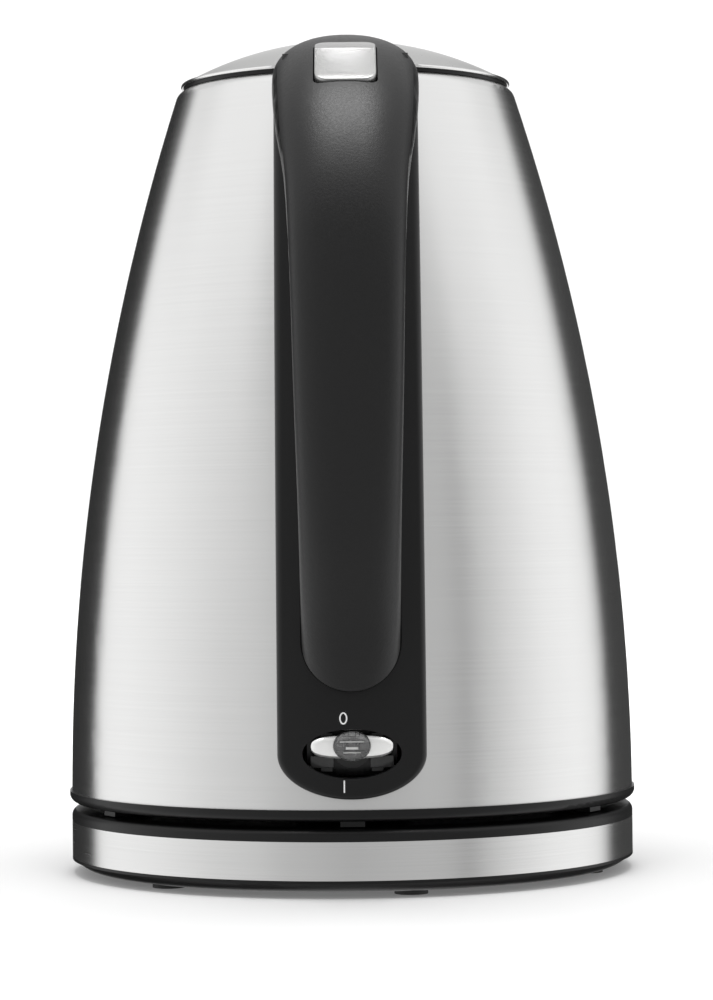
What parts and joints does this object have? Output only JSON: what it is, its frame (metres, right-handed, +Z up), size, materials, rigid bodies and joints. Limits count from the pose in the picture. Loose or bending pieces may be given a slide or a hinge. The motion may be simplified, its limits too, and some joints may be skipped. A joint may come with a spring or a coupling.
{
  "type": "electric kettle",
  "caption": "Cordless electric kettle: tapered brushed steel jug on a round power base, black loop handle with lid button, hinged domed lid, rocker switch with lamp and rear spout.",
  "frame": {"origin": "on the table, at the axis of the power base", "axes": "+Z up along the jug's axis, the handle towards -Y, the spout towards +Y, +X to the right seen from the handle"},
  "size_m": [0.1612, 0.2066, 0.236],
  "materials": {
    "brushed_body": "fine horizontal brushing",
    "brushed_band": "fine horizontal brushing",
    "lid_steel": "satin, bright bevel",
    "inner_steel": "plain rolled",
    "black_plastic": "fine satin grain",
    "black_gloss": "smooth",
    "silver_plastic": "satin silver",
    "lever_silver": "bright",
    "clear_lens": "clear moulded",
    "lamp_glass": "small neon tube",
    "rubber_black": "matt",
    "seal_grey": "silicone",
    "diffuser_aluminium": "plain",
    "element_sheath": "heat dulled",
    "contact_brass": "bright",
    "moulded_beige": "heat resistant moulding",
    "screw_steel": "zinc plated"
  },
  "bodies": {
    "power_base": {"base_band": "brushed_band", "base_bottom_cover": "black_plastic", "base_centre_contact": "contact_brass", "base_connector": "black_gloss", "base_ring_contact": "contact_brass", "base_screws": "screw_steel", "base_top_cover": "black_plastic", "cord_gland": "black_plastic", "foot_1": "rubber_black", "foot_2": "rubber_black", "foot_3": "rubber_black", "foot_4": "rubber_black", "foot_5": "rubber_black", "foot_6": "rubber_black"},
    "jug_coupler": {"jug_connector": "black_gloss", "jug_centre_pin": "contact_brass", "jug_contact_ring": "contact_brass"},
    "jug": {"back_panel": "black_plastic", "bimetal_disc": "inner_steel", "body_shell": "brushed_body", "button_spring": "screw_steel", "control_screws": "screw_steel", "control_unit": "moulded_beige", "diffuser_plate": "diffuser_aluminium", "grip_inner": "black_plastic", "grip_outer": "black_plastic", "grip_screws": "screw_steel", "heater_plate": "inner_steel", "heating_element": "element_sheath", "jug_bottom_ring": "black_plastic", "lever_pin": "inner_steel", "lid_hinge_pins": "inner_steel", "mouth_ring": "black_plastic", "plate_seal": "seal_grey", "spout": "brushed_body", "spout_filter_frame": "black_plastic", "spout_filter_mesh": "inner_steel", "steam_disc": "inner_steel", "switch_unit": "moulded_beige"},
    "lid": {"lid_cap": "lid_steel", "lid_inner": "black_plastic", "lid_seal": "seal_grey"},
    "button": {"lid_button": "silver_plastic"},
    "latch": {"latch_slider": "black_gloss"},
    "switch": {"switch_lever": "lever_silver", "switch_lens": "clear_lens", "indicator_lamp": "lamp_glass"}
  },
  "joints": [
    {"name": "jug_lift", "type": "slide", "parent": "power_base", "child": "jug_coupler", "axis": [0, 0, 1], "range_m": [0, 0.15]},
    {"name": "jug_swivel", "type": "hinge", "parent": "jug_coupler", "child": "jug", "pos_m": [0, 0, 0.03], "axis": [0, 0, 1], "continuous": true},
    {"name": "lid_hinge", "type": "hinge", "parent": "jug", "child": "lid", "pos_m": [0, -0.0425, 0.226], "axis": [1, 0, 0], "range_deg": [0, 75]},
    {"name": "lid_button_press", "type": "slide", "parent": "jug", "child": "button", "axis": [0, 0.5519, -0.8339], "range_m": [0, 0.003], "stiffness_N_per_m": 300, "springref_m": -0.002, "deforming": ["button_spring"]},
    {"name": "latch_slide", "type": "slide", "parent": "jug", "child": "latch", "axis": [0, -1, 0], "range_m": [0, 0.003]},
    {"name": "switch_rock", "type": "hinge", "parent": "jug", "child": "switch", "pos_m": [0, -0.073, 0.03835], "axis": [1, 0, 0], "range_deg": [0, 22.4]}
  ],
  "couplings": [
    {"joint": "latch_slide", "follows": "lid_button_press", "ratio": 1}
  ]
}
